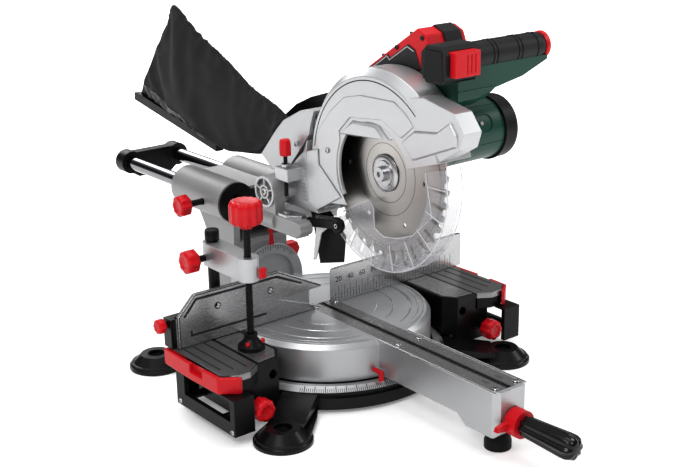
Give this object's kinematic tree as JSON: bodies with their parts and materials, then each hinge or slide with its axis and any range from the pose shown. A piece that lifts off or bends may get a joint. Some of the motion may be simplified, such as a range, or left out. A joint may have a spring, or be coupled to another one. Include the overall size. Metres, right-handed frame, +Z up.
{
  "type": "sliding compound mitre saw",
  "caption": "Cordless sliding compound mitre saw with swivelling table, tilting twin-rail head, toothed blade in a moving guard, fence, hold-down clamp and dust bag.",
  "frame": {"origin": "turntable pivot axis at the bench plane, centre of the four bench bolts", "axes": "+Z up, -Y toward the operator along the table arm, +X to the operator's right"},
  "size_m": [0.486, 0.895, 0.456],
  "materials": {
    "cast_black": "satin black paint",
    "alloy": "satin silver casting",
    "alloy_dark": "milled grey",
    "chrome": "polished",
    "steel": "brushed",
    "red": "bright red moulding",
    "green": "dark green moulding",
    "black": "black moulding",
    "rubber": "soft black",
    "bag": "charcoal cloth",
    "zinc": "yellow zinc",
    "copper": "copper windings and steel",
    "clear": "clear plastic"
  },
  "bodies": {
    "base": {"base_frame": "cast_black", "scale_ring": "alloy", "fence_left": "alloy", "fence_right": "alloy", "fence_clamp_block": "cast_black"},
    "extension_l": {"extension_left": "black", "extension_plate_left": "alloy_dark", "extension_trim_left": "red"},
    "extension_r": {"extension_right": "black", "extension_plate_right": "alloy_dark", "extension_trim_right": "red"},
    "ext_lock_l": {"extension_knob_left": "red"},
    "ext_lock_r": {"extension_knob_right": "red"},
    "sliding_fence": {"fence_slide": "alloy_dark"},
    "fence_lock": {"fence_knob": "red"},
    "table": {"turntable": "alloy", "insert_plates": "alloy_dark", "insert_screws": "steel", "angle_pointer": "red"},
    "foot": {"arm_foot": "rubber"},
    "grip_lock": {"mitre_grip": "black"},
    "detent": {"detent_lever": "red"},
    "tilt": {"bevel_bracket": "alloy", "rail_bushes": "black"},
    "tilt_lock": {"bevel_lever": "red"},
    "rail_lock": {"rail_lock_knob": "red"},
    "carriage": {"slide_rails": "chrome", "rail_end_cap": "black", "head_bracket": "alloy_dark", "pivot_pin": "steel"},
    "depth_plate": {"stop_plate": "zinc"},
    "link": {"guard_link": "black"},
    "head": {"head_arm": "alloy", "upper_guard": "alloy", "dust_chute": "alloy", "dust_bag": "bag", "bag_clip_bar": "black", "chip_flap": "rubber", "gear_case": "green", "motor_housing": "green", "motor_cap": "black", "handle_housing": "green", "handle_grip": "rubber", "carry_handle": "black"},
    "depth_screw": {"depth_stop_screw": "red"},
    "motor": {"armature": "copper"},
    "arbor": {"spindle": "steel", "blade": "steel", "blade_flanges": "steel", "arbor_bolt": "steel"},
    "guard": {"lower_guard": "clear"},
    "lockoff": {"lockoff_lever": "red"},
    "switch": {"trigger": "black"},
    "pack": {"battery_pack": "red"},
    "hold_down": {"clamp_post": "steel", "clamp_arm": "alloy"},
    "post_lock": {"clamp_post_knob": "red"},
    "pad": {"clamp_pad": "black"},
    "screw": {"clamp_spindle": "steel", "clamp_knob": "red"}
  },
  "joints": [
    {"name": "extension_left_slide", "type": "slide", "parent": "base", "child": "extension_l", "axis": [-1, 0, 0], "range_m": [0, 0.05]},
    {"name": "extension_right_slide", "type": "slide", "parent": "base", "child": "extension_r", "axis": [1, 0, 0], "range_m": [0, 0.05]},
    {"name": "extension_left_lock", "type": "hinge", "parent": "base", "child": "ext_lock_l", "pos_m": [-0.187, -0.11, 0.032], "axis": [0, -1, 0], "range_deg": [0, 360]},
    {"name": "extension_right_lock", "type": "hinge", "parent": "base", "child": "ext_lock_r", "pos_m": [0.187, -0.11, 0.032], "axis": [0, -1, 0], "range_deg": [0, 360]},
    {"name": "fence_slide_out", "type": "slide", "parent": "base", "child": "sliding_fence", "axis": [-1, 0, 0], "range_m": [0, 0.06]},
    {"name": "fence_lock_turn", "type": "hinge", "parent": "base", "child": "fence_lock", "pos_m": [-0.24, 0.019, 0.11], "axis": [-1, 0, 0], "range_deg": [0, 360]},
    {"name": "mitre_swivel", "type": "hinge", "parent": "base", "child": "table", "pos_m": [0, 0, 0.04], "axis": [0, 0, -1], "range_deg": [-47, 47]},
    {"name": "arm_foot_height", "type": "slide", "parent": "table", "child": "foot", "axis": [0, 0, 1], "range_m": [0, 0.004]},
    {"name": "mitre_lock_twist", "type": "hinge", "parent": "table", "child": "grip_lock", "pos_m": [0, -0.354, 0.042], "axis": [0, -1, 0], "range_deg": [0, 90]},
    {"name": "detent_press", "type": "hinge", "parent": "table", "child": "detent", "pos_m": [0, -0.344, 0.042], "axis": [0, -1, 0], "range_deg": [0, 15], "stiffness_Nm_per_rad": 0.6},
    {"name": "bevel_tilt", "type": "hinge", "parent": "table", "child": "tilt", "pos_m": [0, 0.16, 0.08], "axis": [0, -1, 0], "range_deg": [-2, 30]},
    {"name": "bevel_lock_lever", "type": "hinge", "parent": "tilt", "child": "tilt_lock", "pos_m": [0, 0.2, 0.08], "axis": [0, 1, 0], "range_deg": [0, 45]},
    {"name": "rail_lock_turn", "type": "hinge", "parent": "tilt", "child": "rail_lock", "pos_m": [-0.098, 0.188, 0.194], "axis": [-1, 0, 0], "range_deg": [0, 360]},
    {"name": "rail_slide", "type": "slide", "parent": "tilt", "child": "carriage", "axis": [0, 1, 0], "range_m": [-0.15, 0.055]},
    {"name": "depth_plate_swing", "type": "hinge", "parent": "carriage", "child": "depth_plate", "pos_m": [-0.04, 0.032, 0.205], "axis": [0, 0, 1], "range_deg": [-60, 0]},
    {"name": "guard_link_swing", "type": "hinge", "parent": "carriage", "child": "link", "pos_m": [-0.03, -0.0016, 0.2014], "axis": [1, 0, 0], "range_deg": [0, 75]},
    {"name": "head_chop", "type": "hinge", "parent": "carriage", "child": "head", "pos_m": [0, 0.063, 0.232], "axis": [1, 0, 0], "range_deg": [0, 33], "stiffness_Nm_per_rad": 15, "springref_deg": -68.75},
    {"name": "depth_screw_turn", "type": "hinge", "parent": "head", "child": "depth_screw", "pos_m": [-0.038, 0.034, 0.283], "axis": [0, 0, 1], "range_deg": [0, 720]},
    {"name": "blade_spin", "type": "hinge", "parent": "head", "child": "arbor", "pos_m": [0, -0.118, 0.285], "axis": [1, 0, 0], "continuous": true},
    {"name": "motor_spin", "type": "hinge", "parent": "head", "child": "motor", "pos_m": [0, -0.15, 0.32599], "axis": [1, 0, 0], "continuous": true},
    {"name": "guard_retract", "type": "hinge", "parent": "head", "child": "guard", "pos_m": [0, -0.118, 0.285], "axis": [1, 0, 0], "range_deg": [-140, 0]},
    {"name": "lockoff_press", "type": "slide", "parent": "head", "child": "lockoff", "axis": [0, 1, 0], "range_m": [0, 0.004], "stiffness_N_per_m": 500},
    {"name": "trigger_pull", "type": "slide", "parent": "head", "child": "switch", "axis": [0, -1, 0], "range_m": [0, 0.0035], "stiffness_N_per_m": 500},
    {"name": "battery_slide", "type": "slide", "parent": "head", "child": "pack", "axis": [1, 0, 0], "range_m": [0, 0.062]},
    {"name": "clamp_swing", "type": "hinge", "parent": "base", "child": "hold_down", "pos_m": [-0.156, 0.028, 0.1], "axis": [0, 0, -1], "range_deg": [0, 50]},
    {"name": "clamp_lock_turn", "type": "hinge", "parent": "hold_down", "child": "post_lock", "pos_m": [-0.188, 0.028, 0.178], "axis": [-1, 0, 0], "range_deg": [0, 360]},
    {"name": "clamp_feed", "type": "slide", "parent": "hold_down", "child": "pad", "axis": [0, 0, 1], "range_m": [0, 0.06]},
    {"name": "clamp_turn", "type": "hinge", "parent": "pad", "child": "screw", "pos_m": [-0.156, -0.048, 0.25], "axis": [0, 0, 1], "range_deg": [0, 5400]}
  ],
  "couplings": [
    {"joint": "motor_spin", "follows": "blade_spin", "ratio": -3},
    {"joint": "guard_retract", "follows": "head_chop", "ratio": -4.06},
    {"joint": "guard_link_swing", "follows": "head_chop", "ratio": 2.17},
    {"joint": "clamp_turn", "follows": "clamp_feed", "rad_per_m": 1570.8}
  ]
}
